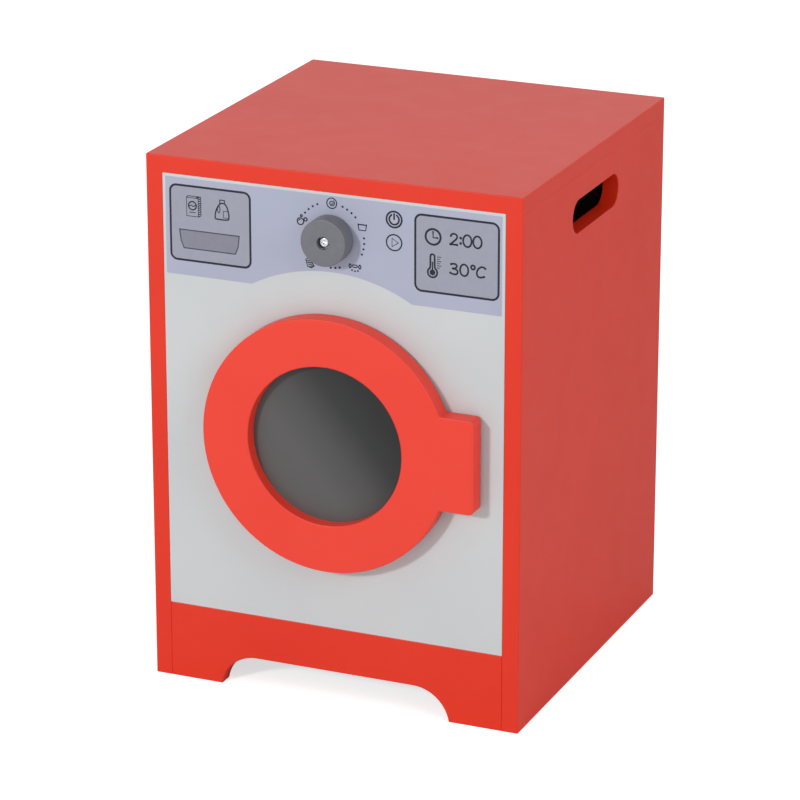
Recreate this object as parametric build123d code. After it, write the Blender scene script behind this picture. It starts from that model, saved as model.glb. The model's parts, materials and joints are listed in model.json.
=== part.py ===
"""Toy washing machine in painted board.

A board cabinet stands on its two sides and an arched plinth. Its front carries
a round window door that swings on a hinge let into the back of the ring's left
rim, a magnetic catch behind the handle tab, a printed control film and a
turning knob.

Millimetres, +Z up. X runs to the right as seen from the front, Y from front to
back. The origin is on the floor, in the middle of the width and of the whole
depth, with the door and the knob counted in.
"""
from build123d import *

import os
from math import cos, hypot, radians, sin, sqrt

# ---------------------------------------------------------------- cabinet
cabinet_width = 360.0
cabinet_depth = 360.0
cabinet_height = 500.0
board_thickness = 16.0
board_edge_radius = 0.8          # eased edges of the red boards
joint_edge_radius = 0.2          # where the top meets the sides
front_edge_radius = 0.5          # eased edges of the off-white front

plinth_height = 73.0
arch_width = 226.0               # at the floor
arch_height = 30.0
arch_corner_radius = 36.0
plinth_edge_radius = 0.8

back_panel_thickness = 3.0
rebate_width = 8.0               # how far the back panel reaches over the boards
back_panel_play = 0.3            # left round the back panel in its rebate

slot_length = 117.0              # hand slot, end to end
slot_height = 31.0
slot_below_top = 38.0            # its middle, from the sides' upper edges
slot_edge_radius = 0.8

# ---------------------------------------------------------------- door
ring_outer_diameter = 238.0
ring_hole_diameter = 149.0
ring_thickness = 17.0
ring_front_radius = 1.2
ring_back_radius = 0.8
fitting_recess = 5.0             # how deep window, hinge and catch sit in the ring's back
door_gap = 2.0                   # from the front panel to the back of the ring
laundry_opening_diameter = 180.0
laundry_opening_edge_radius = 2.0

tab_reach = 24.5                 # handle tab, past the ring's rim
tab_height = 88.0
tab_corner_radius = 5.0
tab_root_radius = 1.5

window_thickness = 3.0
window_overlap = 11.5            # of the disc on the back of the ring
window_edge_radius = 0.4
window_screw_count = 6

# ---------------------------------------------------------------- hinge
hinge_length = 40.0
knuckle_count = 5                # shared by the two leaves in turn
leaf_width = 22.0                # from the pin to the leaf's free edge
leaf_thickness = 1.2
leaf_corner_radius = 2.0
hinge_pin_radius = 1.5
pin_head_radius = 2.3
pin_head_height = 0.8
hinge_inset = 2.5                # of the pin, inside the ring's rim
hinge_screw_count = 2            # in each leaf
hinge_screw_pitch = 24.0
hinge_screw_inset = 9.0          # from the leaf's free edge

# ---------------------------------------------------------------- catch
catch_length = 40.0
catch_width = 14.0
catch_edge_radius = 0.8
catch_screw_pitch = 29.0
catch_inset = 16.5               # of the catch's middle, from the tab's tip
magnet_length = 16.0
magnet_width = 8.0
magnet_thickness = 4.0
strike_thickness = 1.2

# ---------------------------------------------------------------- knob
knob_below_top = 41.0            # its middle, from the front panel's upper edge
knob_diameter = 43.0
knob_stand_out = 18.5            # knob's face, from the front panel
knob_face_radius = 1.2           # rounding of the knob's front rim
knob_back_radius = 0.5
knob_counterbore_radius = 6.0
knob_counterbore_depth = 7.0
bush_radius = 3.6
knob_screw_radius = 2.5
knob_screw_length = 40.0
knob_screw_head_radius = 4.7
knob_screw_head_height = 2.8
knob_screw_head_rounding = 1.4
knob_screw_recess_depth = 2.0
knob_screw_end_chamfer = 0.5
head_washer_radius = 5.6
head_washer_thickness = 1.0
front_washer_radius = 8.0
front_washer_thickness = 1.0
back_washer_radius = 7.5
back_washer_thickness = 1.2
nut_across_flats = 8.0
nut_height = 5.0

# ---------------------------------------------------------------- control film
film_thickness = 0.2
film_side_margin = 3.0           # bare front panel beside the film
film_top_margin = 2.7
film_height = 90.0               # from its straight lower edge to its top edge
film_knob_gap = 10.0             # from the knob's rim down to the film's arc
film_arc_gap = 38.5              # from the film's arc to the ring's rim
film_corner_radius = 1.0

# ---------------------------------------------------------------- fittings
dowel_radius = 4.0
dowel_short_end = 10.0           # in the board whose face it enters
dowel_long_end = 20.0            # in the board whose edge it enters
dowel_chamfer = 0.8
dowel_inset = 32.0               # from the cabinet's front and back
front_dowel_margin = 48.0        # from the front panel's upper and lower edges
front_dowel_count = 3            # down each side of the front panel
front_end_dowel_pitch = 180.0    # along the front panel's upper and lower edges
floor_front_dowel_pitch = 112.0  # between plinth and floor panel
plinth_dowel_height = 22.0       # in the plinth's feet
cam_inset = 50.0                 # from the cabinet's front and back
cam_edge_distance = 34.0         # from the joint to the cam's middle
cam_radius = 7.5
cam_depth = 12.5
cam_bolt_radius = 3.2
cam_bolt_bore_radius = 4.0
cam_bolt_thread_radius = 3.0
cam_bolt_thread_length = 10.0
cam_bolt_neck_radius = 2.0
cam_bolt_neck_length = 3.0
cam_bolt_head_length = 3.0

small_screw_radius = 1.5         # the shank of every wood screw
small_screw_head_radius = 2.9
small_screw_head_height = 1.4
small_screw_length = 10.0
back_screw_length = 16.0
catch_screw_length = 16.0
button_head_height = 1.6
button_head_rounding = 1.0
button_recess_depth = 1.0
screw_tip_length = 2.5
screw_tip_radius = 0.4
cross_recess_width = 0.9
cross_recess_share = 0.62        # of the head's width

back_screws_per_side = 4
back_screws_per_end = 3
back_screw_end_margin = 30.0     # from the back panel's corners

# ---------------------------------------------------------------- clearances
glue_fit = 0.05                  # round a dowel, a fitting or a screw
end_gap = 0.5                    # past the blind end of a dowel, fitting or screw
running_fit = 0.05               # round the hinge pin and the knob's bush
axial_play = 0.3                 # along a pin, between parts that turn
swing_gap = 0.2                  # between a knuckle and the flat faces beside it
recess_play = 0.5                # round the fittings in the ring's recesses
sight_gap = 0.2                  # round the knob's washer in the film
knob_hole_play = 0.25            # round the knob's screw in the front panel
over_cut = 1.0                   # how far a cutter runs past the face it opens

# ---------------------------------------------------------------- worked-out places
ring_radius = ring_outer_diameter / 2
ring_hole_radius = ring_hole_diameter / 2
door_stand_out = door_gap + ring_thickness
front_reach = max(door_stand_out, knob_stand_out)
front_y = -(cabinet_depth - front_reach) / 2
back_y = front_y + cabinet_depth
front_inner_y = front_y + board_thickness
front_middle_y = front_y + board_thickness / 2
rebate_y = back_y - back_panel_thickness

side_outer_x = cabinet_width / 2
side_inner_x = side_outer_x - board_thickness
side_middle_x = side_outer_x - board_thickness / 2
side_top = cabinet_height - board_thickness
slot_centre_height = side_top - slot_below_top
floor_top = plinth_height
floor_bottom = floor_top - board_thickness
floor_middle_z = floor_top - board_thickness / 2

knob_centre_height = side_top - knob_below_top
film_arc_top = knob_centre_height - knob_diameter / 2 - film_knob_gap
film_arc_radius = ring_radius + film_arc_gap
door_centre_height = film_arc_top - film_arc_radius

ring_back_y = front_y - door_gap
seat_y = ring_back_y - fitting_recess
fitting_space = front_y - seat_y
tab_tip_x = ring_radius + tab_reach
window_radius = ring_hole_radius + window_overlap
window_back_y = seat_y + window_thickness

hinge_x = -(ring_radius - hinge_inset)
hinge_y = front_y - fitting_space / 2
knuckle_radius = fitting_space / 2 - swing_gap
leaf_edge_x = hinge_x + leaf_width
hinge_screw_x = leaf_edge_x - hinge_screw_inset

catch_x = tab_tip_x - catch_inset
catch_height = fitting_space - strike_thickness - axial_play
strike_radius = catch_width / 2
strike_y = seat_y + strike_thickness
catch_face_y = front_y - catch_height

knob_face_y = front_y - knob_stand_out
knob_seat_y = knob_face_y + knob_counterbore_depth
knob_back_y = front_y - front_washer_thickness - axial_play
bush_front_y = knob_seat_y - axial_play
head_seat_y = bush_front_y - head_washer_thickness

film_top = side_top - film_top_margin
film_bottom = film_top - film_height
film_half_width = side_inner_x - film_side_margin

right, left = 1, -1
forward, backward = (0, -1, 0), (0, 1, 0)
up, down = (0, 0, 1), (0, 0, -1)
from_base = (Align.CENTER, Align.CENTER, Align.MIN)


# ---------------------------------------------------------------- shape helpers
def block(x_range, y_range, z_range):
    """A box between two X, two Y and two Z values."""
    size = [high - low for low, high in (x_range, y_range, z_range)]
    middle = [(high + low) / 2 for low, high in (x_range, y_range, z_range)]
    return Pos(*middle) * Box(*size)


def placed(point, direction, shape):
    """A shape drawn up from the XY plane, moved to start at point and run along direction."""
    return Plane(origin=point, z_dir=direction) * shape


def rod(point, direction, radius, length):
    """A round bar that starts at point."""
    return placed(point, direction, Cylinder(radius, length, align=from_base))


def front_plate(outline, back_face_y, thickness):
    """A plate parallel to the front, from an outline drawn in X and Z."""
    plane = Plane(origin=(0, back_face_y, 0), x_dir=(1, 0, 0), z_dir=forward)
    return extrude(plane * outline, thickness)


def shifted(point, direction, distance):
    """The point that lies a distance from another, along a direction."""
    return tuple(p + d * distance for p, d in zip(point, direction))


def inward(side):
    """The direction from a side panel to the middle of the cabinet."""
    return (-side, 0, 0)


def spread(low, high, count):
    """Evenly spaced places from low to high."""
    return [low + (high - low) * index / (count - 1) for index in range(count)]


def without(body, cutters):
    """A body less a list of cutters."""
    for cutter in cutters:
        body -= cutter
    return body


def group(solids):
    """Separate solids kept in one node."""
    return Compound(children=[solid.solid() for solid in solids])


# ---------------------------------------------------------------- screws
def cross_recess(radius, depth):
    """Cutter for a cross recess, sunk from the XY plane."""
    across = 2 * radius * cross_recess_share
    bar = Box(across, cross_recess_width, depth, align=from_base)
    return bar + Rot(0, 0, 90) * bar


def screw_tip(shank):
    return Cone(shank, screw_tip_radius, screw_tip_length, align=from_base)


def wood_screw_shape(length, grow=0.0, extra=0.0):
    """A countersunk screw, its flat head on the XY plane, its tip above it."""
    shank = small_screw_radius + grow
    head = small_screw_head_radius + grow
    tip_start = length - screw_tip_length
    body = Cone(head, shank, small_screw_head_height, align=from_base)
    body += Cylinder(shank, tip_start + extra, align=from_base)
    return body + Pos(0, 0, tip_start + extra) * screw_tip(shank)


def wood_screw(point, direction, length=small_screw_length):
    body = wood_screw_shape(length)
    body -= cross_recess(small_screw_head_radius, small_screw_head_height)
    return placed(point, direction, body)


def wood_screw_hole(point, direction, length=small_screw_length):
    """The countersunk pilot hole for a wood screw."""
    return placed(point, direction, wood_screw_shape(length, glue_fit, end_gap))


def button_screw(point, direction):
    """A low button-head wood screw; point is under its head."""
    shank_length = small_screw_length - screw_tip_length
    head = Pos(0, 0, -button_head_height) * Cylinder(
        small_screw_head_radius, button_head_height, align=from_base
    )
    rim = head.faces().sort_by(Axis.Z)[0].edges()
    head = fillet(rim, button_head_rounding)
    head -= Pos(0, 0, -button_head_height) * cross_recess(small_screw_head_radius, button_recess_depth)
    body = head + Cylinder(small_screw_radius, shank_length, align=from_base)
    body += Pos(0, 0, shank_length) * screw_tip(small_screw_radius)
    return placed(point, direction, body)


def button_screw_hole(point, direction):
    """The straight pilot hole for a button-head screw."""
    return rod(point, direction, small_screw_radius + glue_fit, small_screw_length + end_gap)


# ---------------------------------------------------------------- board joints
def dowel_rows():
    return [front_y + dowel_inset, back_y - dowel_inset]


def cam_rows():
    return [front_y + cam_inset, back_y - cam_inset]


def front_dowel_heights():
    """Where dowels hold the front panel to the sides."""
    low = plinth_height + front_dowel_margin
    high = side_top - front_dowel_margin
    return spread(low, high, front_dowel_count)


def plinth_dowel_heights():
    """Where dowels hold the feet of the plinth to the sides."""
    return [plinth_dowel_height, floor_middle_z]


def front_end_dowel_places():
    """Where dowels hold the front panel to the top and to the plinth."""
    return [left * front_end_dowel_pitch / 2, right * front_end_dowel_pitch / 2]


def floor_front_dowel_places():
    """Where dowels hold the plinth to the floor panel."""
    return [left * floor_front_dowel_pitch / 2, right * floor_front_dowel_pitch / 2]


def dowel_sites():
    """Each dowel joint's point on the joint, its direction into the board edge, and both boards."""
    sites = []
    for side, panel in ((left, "left_side_panel"), (right, "right_side_panel")):
        for y in dowel_rows():
            sites.append(((side * side_middle_x, y, side_top), down, "top_panel", panel))
            sites.append(((side * side_inner_x, y, floor_middle_z), inward(side), panel, "floor_panel"))
        for z in front_dowel_heights():
            sites.append(((side * side_inner_x, front_middle_y, z), inward(side), panel, "front_panel"))
        for z in plinth_dowel_heights():
            sites.append(((side * side_inner_x, front_middle_y, z), inward(side), panel, "plinth_rail"))
    for x in front_end_dowel_places():
        sites.append(((x, front_middle_y, side_top), down, "top_panel", "front_panel"))
        sites.append(((x, front_middle_y, plinth_height), up, "plinth_rail", "front_panel"))
    for x in floor_front_dowel_places():
        sites.append(((x, front_inner_y, floor_middle_z), backward, "plinth_rail", "floor_panel"))
    return sites


def dowel(point, direction):
    length = dowel_short_end + dowel_long_end
    bar = Cylinder(dowel_radius, length, align=from_base)
    bar = chamfer(bar.edges().filter_by(GeomType.CIRCLE), dowel_chamfer)
    return placed(shifted(point, direction, -dowel_short_end), direction, bar)


def dowel_holes(panel):
    """Cutters for every dowel hole in one board."""
    holes = []
    for point, direction, face_board, edge_board in dowel_sites():
        if panel in (face_board, edge_board):
            start = shifted(point, direction, -dowel_short_end - end_gap)
            length = dowel_short_end + dowel_long_end + 2 * end_gap
            holes.append(rod(start, direction, dowel_radius + glue_fit, length))
    return holes


def top_cam_sites():
    """Point on the joint, direction down the bolt, and the way into the side panel."""
    return [
        ((side * side_middle_x, y, side_top), down, (side, 0, 0))
        for side in (left, right)
        for y in cam_rows()
    ]


def floor_cam_sites():
    """Point on the joint, direction along the bolt, and the way into the floor panel."""
    return [
        ((side * side_inner_x, y, floor_middle_z), inward(side), up)
        for side in (left, right)
        for y in cam_rows()
    ]


def cam_mouth(site):
    """Middle of a cam's outer face, flush with its board."""
    point, along_bolt, into_board = site
    middle = shifted(point, along_bolt, cam_edge_distance)
    return shifted(middle, into_board, -board_thickness / 2)


def cam_lock(site):
    """Round cam with the channel that the bolt's head enters and a cross recess."""
    point, along_bolt, into_board = site
    body = rod(cam_mouth(site), into_board, cam_radius - glue_fit, cam_depth)
    channel_start = shifted(point, along_bolt, cam_edge_distance - cam_radius - over_cut)
    channel_length = cam_radius + over_cut + cam_bolt_head_length
    body -= rod(channel_start, along_bolt, cam_bolt_bore_radius, channel_length)
    return body - placed(cam_mouth(site), into_board, cross_recess(cam_radius, 2 * cross_recess_width))


def cam_bolt(site):
    """Bolt threaded into the face of one board, its head inside the cam of the other."""
    point, along_bolt, _ = site
    shank = cam_edge_distance - cam_bolt_neck_length - cam_bolt_head_length / 2
    body = rod(
        shifted(point, along_bolt, -cam_bolt_thread_length),
        along_bolt, cam_bolt_thread_radius, cam_bolt_thread_length,
    )
    body += rod(point, along_bolt, cam_bolt_radius, shank)
    neck_start = shifted(point, along_bolt, shank)
    body += rod(neck_start, along_bolt, cam_bolt_neck_radius, cam_bolt_neck_length)
    head_start = shifted(neck_start, along_bolt, cam_bolt_neck_length)
    return body + rod(head_start, along_bolt, cam_bolt_radius, cam_bolt_head_length)


def cam_bores(site):
    """Cutters in the board that holds the cam: the cam's bore and the bolt's bore."""
    point, along_bolt, into_board = site
    bolt_bore = rod(point, along_bolt, cam_bolt_bore_radius, cam_edge_distance)
    return [rod(cam_mouth(site), into_board, cam_radius, cam_depth + end_gap), bolt_bore]


def cam_thread_hole(site):
    """Cutter in the board face that holds the bolt's thread."""
    point, along_bolt, _ = site
    away = tuple(-d for d in along_bolt)
    depth = cam_bolt_thread_length + end_gap
    return rod(point, away, cam_bolt_thread_radius + glue_fit, depth)


# ---------------------------------------------------------------- cabinet boards
def eased_board(x_range, y_range, z_range, joint_end):
    """A board with eased edges, nearly sharp round its lower (0) or upper (-1) end."""
    board = block(x_range, y_range, z_range)
    free_edges = board.edges() - board.faces().sort_by(Axis.Z)[joint_end].edges()
    board = fillet(free_edges, board_edge_radius)
    joint_face = board.faces().sort_by(Axis.Z)[joint_end]
    return fillet(joint_face.edges(), joint_edge_radius)


def rebate():
    """Cutter for the rebate that takes the back panel in the sides and the top."""
    half_width = side_inner_x + rebate_width
    over = back_panel_thickness
    return block(
        (-half_width, half_width),
        (rebate_y, back_y + over),
        (floor_bottom - back_panel_play, side_top + rebate_width),
    )


def back_screw_sites():
    """Heads of the back panel's screws, in the middle of what it covers."""
    margin = back_screw_end_margin
    half_width = side_inner_x - margin
    edge_x = side_inner_x + rebate_width / 2
    sites = []
    for z in spread(floor_bottom + margin, side_top - margin, back_screws_per_side):
        sites += [(left * edge_x, back_y, z), (right * edge_x, back_y, z)]
    for x in spread(-half_width, half_width, back_screws_per_end):
        sites += [(x, back_y, floor_middle_z), (x, back_y, side_top + rebate_width / 2)]
    return sites


def back_screw_holes():
    return [wood_screw_hole(site, forward, back_screw_length) for site in back_screw_sites()]


def make_top_panel():
    board = eased_board((-side_outer_x, side_outer_x), (front_y, back_y), (side_top, cabinet_height), 0)
    board -= rebate()
    board = without(board, dowel_holes("top_panel") + back_screw_holes())
    return without(board, [cam_thread_hole(site) for site in top_cam_sites()])


def make_side_panel(side, name):
    x_range = sorted((side * side_inner_x, side * side_outer_x))
    board = eased_board(x_range, (front_y, back_y), (0, side_top), -1)
    slot = SlotOverall(slot_length, slot_height)
    slot_plane = Plane(
        origin=(0, (front_y + back_y) / 2, slot_centre_height), x_dir=(0, 1, 0), z_dir=(1, 0, 0)
    )
    board -= extrude(slot_plane * slot, cabinet_width, both=True)
    slot_rims = [board.faces().sort_by(Axis.X)[end].inner_wires()[0].edges() for end in (0, -1)]
    board = fillet(slot_rims[0] + slot_rims[1], slot_edge_radius)
    board -= rebate()
    board = without(board, dowel_holes(name) + back_screw_holes())
    on_this_side = [site for site in top_cam_sites() if site[0][0] * side > 0]
    for site in on_this_side:
        board = without(board, cam_bores(site))
    below = [site for site in floor_cam_sites() if site[0][0] * side > 0]
    return without(board, [cam_thread_hole(site) for site in below])


def make_floor_panel():
    board = block((-side_inner_x, side_inner_x), (front_inner_y, rebate_y), (floor_bottom, floor_top))
    board = without(board, dowel_holes("floor_panel") + back_screw_holes())
    for site in floor_cam_sites():
        board = without(board, cam_bores(site))
    return board


def arch_outline():
    """The plinth's arch, seen from the front: flat on top with an arc at each end."""
    half = arch_width / 2
    below_floor = arch_corner_radius - arch_height
    arc_middle_x = half - sqrt(arch_corner_radius ** 2 - below_floor ** 2)
    outline = Rectangle(2 * arc_middle_x, 2 * arch_height)
    for side in (left, right):
        outline += Pos(side * arc_middle_x, -below_floor) * Circle(arch_corner_radius)
    return outline


def make_plinth_rail():
    outline = Pos(0, plinth_height / 2) * Rectangle(2 * side_inner_x, plinth_height)
    board = front_plate(outline - arch_outline(), front_inner_y, board_thickness)
    for face_y in (0, -1):
        face = board.faces().sort_by(Axis.Y)[face_y]
        board = fillet(face.edges(), plinth_edge_radius)
    return without(board, dowel_holes("plinth_rail"))


def make_front_panel():
    board = block((-side_inner_x, side_inner_x), (front_y, front_inner_y), (plinth_height, side_top))
    board = fillet(board.edges(), front_edge_radius)
    opening = Pos(0, door_centre_height) * Circle(laundry_opening_diameter / 2)
    board -= front_plate(opening, front_inner_y, board_thickness)
    opening_rims = [board.faces().sort_by(Axis.Y)[end].inner_wires()[0].edges() for end in (0, -1)]
    board = fillet(opening_rims[0] + opening_rims[1], laundry_opening_edge_radius)
    board -= rod(on_knob_axis(front_y), backward, knob_screw_radius + knob_hole_play, board_thickness)
    board = without(board, dowel_holes("front_panel"))
    board = without(board, [wood_screw_hole(site, backward) for site in frame_leaf_screw_sites()])
    return without(board, [catch_screw_hole(site) for site in catch_screw_sites()])


def make_back_panel():
    half_width = side_inner_x + rebate_width - back_panel_play
    top = side_top + rebate_width - back_panel_play
    board = block((-half_width, half_width), (rebate_y, back_y), (floor_bottom, top))
    return without(board, back_screw_holes())


def make_control_film():
    """Printed film, cut to an arc that follows the door's ring."""
    middle_z = (film_top + film_bottom) / 2
    outline = Pos(0, middle_z) * RectangleRounded(2 * film_half_width, film_height, film_corner_radius)
    outline -= Pos(0, door_centre_height) * Circle(film_arc_radius)
    outline -= Pos(0, knob_centre_height) * Circle(front_washer_radius + sight_gap)
    return front_plate(outline, front_y, film_thickness)


# ---------------------------------------------------------------- door
def window_screw_sites():
    """Under the heads of the screws that hold the window to the ring."""
    circle = ring_hole_radius + window_overlap / 2
    step = 360 / window_screw_count
    angles = [radians(step * (index + 0.5)) for index in range(window_screw_count)]
    return [
        (circle * cos(angle), window_back_y, door_centre_height + circle * sin(angle))
        for angle in angles
    ]


def door_outline():
    """Ring and handle tab in one board, seen from the front."""
    root_x = (ring_radius + ring_hole_radius) / 2
    tab = Pos((root_x + tab_tip_x) / 2, 0) * Rectangle(tab_tip_x - root_x, tab_height)
    outline = Circle(ring_radius) + tab
    tip_corners = outline.vertices().group_by(Axis.X)[-1]
    outline = fillet(tip_corners, tab_corner_radius)
    root_corners = [
        corner for corner in outline.vertices()
        if abs(hypot(corner.X, corner.Y) - ring_radius) < 0.01 and corner.X > root_x
    ]
    outline = fillet(root_corners, tab_root_radius)
    return Pos(0, door_centre_height) * (outline - Circle(ring_hole_radius))


def recess(outline):
    """Cutter for a recess in the ring's back, as deep as the fittings' seat."""
    return front_plate(outline, ring_back_y + over_cut, fitting_recess + over_cut)


def ring_recesses():
    """Cutters for the window, the hinge and the catch; the hinge's runs out at the rim."""
    rim_x = -(ring_radius + over_cut)
    hinge_end_x = leaf_edge_x + recess_play
    hinge_height = hinge_length + 2 * (pin_head_height + recess_play)
    hinge_place = Pos((rim_x + hinge_end_x) / 2, door_centre_height)
    return [
        recess(Pos(0, door_centre_height) * Circle(window_radius + recess_play)),
        recess(hinge_place * Rectangle(hinge_end_x - rim_x, hinge_height)),
        recess(catch_outline(recess_play)),
    ]


def make_door_ring():
    board = front_plate(door_outline(), ring_back_y, ring_thickness)
    front_face = board.faces().sort_by(Axis.Y)[0]
    board = fillet(front_face.edges(), ring_front_radius)
    back_face = board.faces().sort_by(Axis.Y)[-1]
    board = fillet(back_face.edges(), ring_back_radius)
    board = without(board, ring_recesses())
    board = without(board, [button_screw_hole(site, forward) for site in window_screw_sites()])
    board = without(board, [wood_screw_hole(site, forward) for site in door_leaf_screw_sites()])
    return board - wood_screw_hole(strike_screw_site(), forward)


def make_door_window():
    disc = rod((0, seat_y, door_centre_height), backward, window_radius, window_thickness)
    disc = fillet(disc.edges().filter_by(GeomType.CIRCLE), window_edge_radius)
    return without(disc, [button_screw_hole(site, forward) for site in window_screw_sites()])


# ---------------------------------------------------------------- hinge
def hinge_screw_heights():
    """Heights of the screws in either leaf."""
    reach = hinge_screw_pitch * (hinge_screw_count - 1) / 2
    return spread(door_centre_height - reach, door_centre_height + reach, hinge_screw_count)


def frame_leaf_screw_sites():
    """Heads of the screws in the leaf on the front panel."""
    return [(hinge_screw_x, front_y - leaf_thickness, z) for z in hinge_screw_heights()]


def door_leaf_screw_sites():
    """Heads of the screws in the leaf on the ring."""
    return [(hinge_screw_x, seat_y + leaf_thickness, z) for z in hinge_screw_heights()]


def knuckle_span(index):
    """Height range of one knuckle, with half the play at each end."""
    pitch = hinge_length / knuckle_count
    bottom = door_centre_height - hinge_length / 2 + index * pitch
    return bottom + axial_play / 2, bottom + pitch - axial_play / 2


def hinge_leaf(y_range, first_knuckle, pin_fit, screw_sites, screw_direction):
    """A flat leaf with every second knuckle, starting at first_knuckle."""
    half = hinge_length / 2
    plate_start = hinge_x + knuckle_radius + axial_play
    leaf = block(
        (plate_start, leaf_edge_x), y_range, (door_centre_height - half, door_centre_height + half)
    )
    free_corners = leaf.edges().filter_by(Axis.Y).group_by(Axis.X)[-1]
    leaf = fillet(free_corners, leaf_corner_radius)
    for index in range(first_knuckle, knuckle_count, 2):
        bottom, top = knuckle_span(index)
        leaf += block((hinge_x, plate_start), y_range, (bottom, top))
        leaf += rod((hinge_x, hinge_y, bottom), up, knuckle_radius, top - bottom)
    bore_bottom = (hinge_x, hinge_y, door_centre_height - half)
    leaf -= rod(bore_bottom, up, hinge_pin_radius + pin_fit, hinge_length)
    return without(leaf, [wood_screw_hole(site, screw_direction) for site in screw_sites])


def make_hinge_frame_leaf():
    y_range = (front_y - leaf_thickness, front_y)
    return hinge_leaf(y_range, 0, glue_fit, frame_leaf_screw_sites(), backward)


def make_hinge_door_leaf():
    y_range = (seat_y, seat_y + leaf_thickness)
    return hinge_leaf(y_range, 1, running_fit, door_leaf_screw_sites(), forward)


def make_hinge_pin():
    half = hinge_length / 2
    bottom = (hinge_x, hinge_y, door_centre_height - half - pin_head_height)
    pin = rod(bottom, up, hinge_pin_radius, hinge_length + 2 * pin_head_height)
    for end in (bottom, (hinge_x, hinge_y, door_centre_height + half)):
        pin += rod(end, up, pin_head_radius, pin_head_height)
    return pin


# ---------------------------------------------------------------- magnetic catch
def catch_screw_sites():
    """Heads of the catch's screws, flush with its face."""
    return [
        (catch_x, catch_face_y, door_centre_height + end * catch_screw_pitch / 2) for end in (-1, 1)
    ]


def catch_screw_hole(site):
    return wood_screw_hole(site, backward, catch_screw_length)


def strike_screw_site():
    return (catch_x, strike_y, door_centre_height)


def catch_outline(grow=0.0):
    """The catch's housing, seen from the front."""
    slot = SlotOverall(catch_length + 2 * grow, catch_width + 2 * grow, rotation=90)
    return Pos(catch_x, door_centre_height) * slot


def make_catch_housing():
    body = front_plate(catch_outline(), front_y, catch_height)
    face = body.faces().sort_by(Axis.Y)[0]
    body = fillet(face.edges(), catch_edge_radius)
    half_width = magnet_width / 2 + glue_fit
    half_length = magnet_length / 2 + glue_fit
    body -= block(
        (catch_x - half_width, catch_x + half_width),
        (catch_face_y, catch_face_y + magnet_thickness),
        (door_centre_height - half_length, door_centre_height + half_length),
    )
    return without(body, [catch_screw_hole(site) for site in catch_screw_sites()])


def make_catch_magnet():
    return block(
        (catch_x - magnet_width / 2, catch_x + magnet_width / 2),
        (catch_face_y, catch_face_y + magnet_thickness),
        (door_centre_height - magnet_length / 2, door_centre_height + magnet_length / 2),
    )


def make_strike_plate():
    disc = rod((catch_x, seat_y, door_centre_height), backward, strike_radius, strike_thickness)
    return disc - wood_screw_hole(strike_screw_site(), forward)


# ---------------------------------------------------------------- knob
def on_knob_axis(y):
    return (0, y, knob_centre_height)


def knob_ring(start_y, outer_radius, inner_radius, length):
    """A ring on the knob's axis that runs backward from start_y."""
    bore = rod(on_knob_axis(start_y), backward, inner_radius, length)
    return rod(on_knob_axis(start_y), backward, outer_radius, length) - bore


def make_dial_knob():
    depth = knob_back_y - knob_face_y
    knob = rod(on_knob_axis(knob_face_y), backward, knob_diameter / 2, depth)
    knob = fillet(knob.faces().sort_by(Axis.Y)[0].edges(), knob_face_radius)
    knob = fillet(knob.faces().sort_by(Axis.Y)[-1].edges(), knob_back_radius)
    knob -= rod(on_knob_axis(knob_face_y), backward, knob_counterbore_radius, knob_counterbore_depth)
    return knob - rod(on_knob_axis(knob_face_y), backward, bush_radius + running_fit, depth)


def make_knob_bush():
    bore = knob_screw_radius + glue_fit
    return knob_ring(bush_front_y, bush_radius, bore, front_y - bush_front_y)


def make_knob_head_washer():
    bore = knob_screw_radius + glue_fit
    return knob_ring(head_seat_y, head_washer_radius, bore, head_washer_thickness)


def make_knob_front_washer():
    start = front_y - front_washer_thickness
    return knob_ring(start, front_washer_radius, bush_radius + glue_fit, front_washer_thickness)


def make_knob_back_washer():
    bore = knob_screw_radius + glue_fit
    return knob_ring(front_inner_y, back_washer_radius, bore, back_washer_thickness)


def make_knob_lock_nut():
    nut_start = front_inner_y + back_washer_thickness
    hexagon = RegularPolygon(nut_across_flats / 2, 6, major_radius=False)
    nut = placed(on_knob_axis(nut_start), backward, extrude(hexagon, nut_height))
    return nut - rod(on_knob_axis(nut_start), backward, knob_screw_radius + glue_fit, nut_height)


def make_knob_screw():
    """Pan-head machine screw with a cross recess, its head on the head washer."""
    face_y = head_seat_y - knob_screw_head_height
    head = rod(on_knob_axis(face_y), backward, knob_screw_head_radius, knob_screw_head_height)
    rim = head.faces().sort_by(Axis.Y)[0].edges()
    head = fillet(rim, knob_screw_head_rounding)
    recess = cross_recess(knob_screw_head_radius, knob_screw_recess_depth)
    head -= placed(on_knob_axis(face_y), backward, recess)
    shank = rod(on_knob_axis(head_seat_y), backward, knob_screw_radius, knob_screw_length)
    return head + chamfer(shank.faces().sort_by(Axis.Y)[-1].edges(), knob_screw_end_chamfer)


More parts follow.
